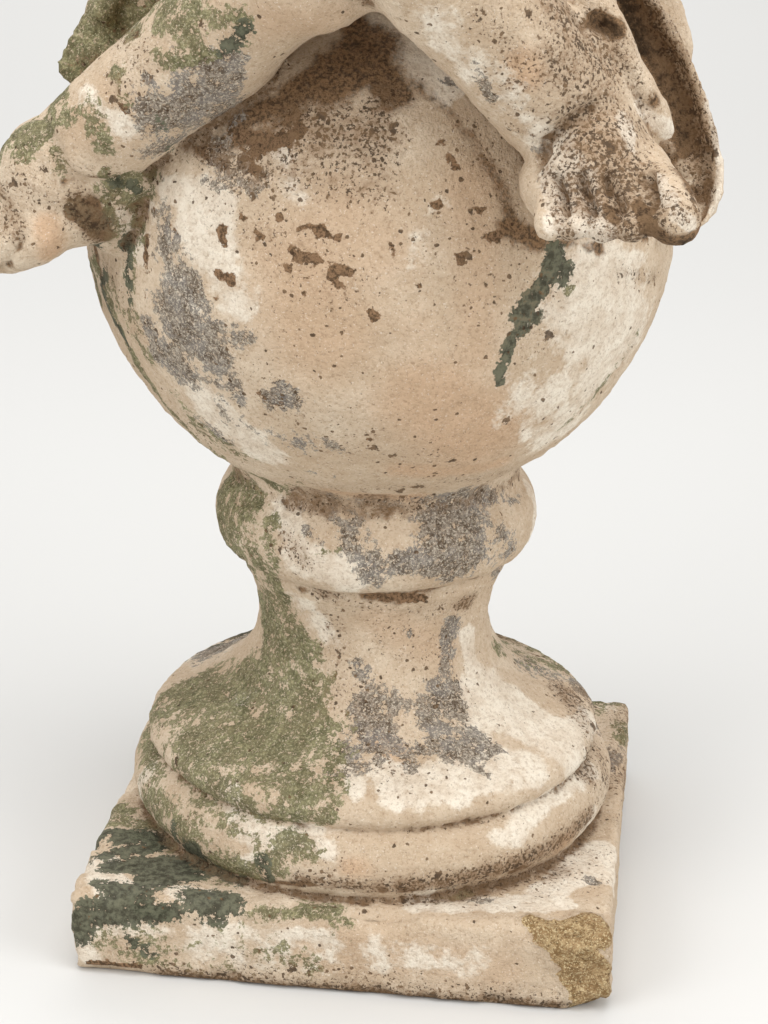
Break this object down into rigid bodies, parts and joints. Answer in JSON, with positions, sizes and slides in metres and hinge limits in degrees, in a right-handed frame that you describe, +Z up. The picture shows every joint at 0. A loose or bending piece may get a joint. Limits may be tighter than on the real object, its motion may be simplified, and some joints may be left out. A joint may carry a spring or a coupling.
{
  "type": "stone putto statue",
  "caption": "Weathered cast stone garden statue: a cross-legged putto sits on a draped ball on a turned foot and square plinth.",
  "frame": {"origin": "middle of the plinth's flat underside", "axes": "+Z up, the figure faces -Y, and X and Y run along the plinth's sides"},
  "size_m": [0.3496, 0.3626, 0.8907],
  "materials": {
    "weathered_stone": "weathered, dry and pitted, buff to pinkish, with green moss, grey lichen and brown stains"
  },
  "bodies": {
    "root": {"putto_statue": "weathered_stone"}
  },
  "joints": []
}
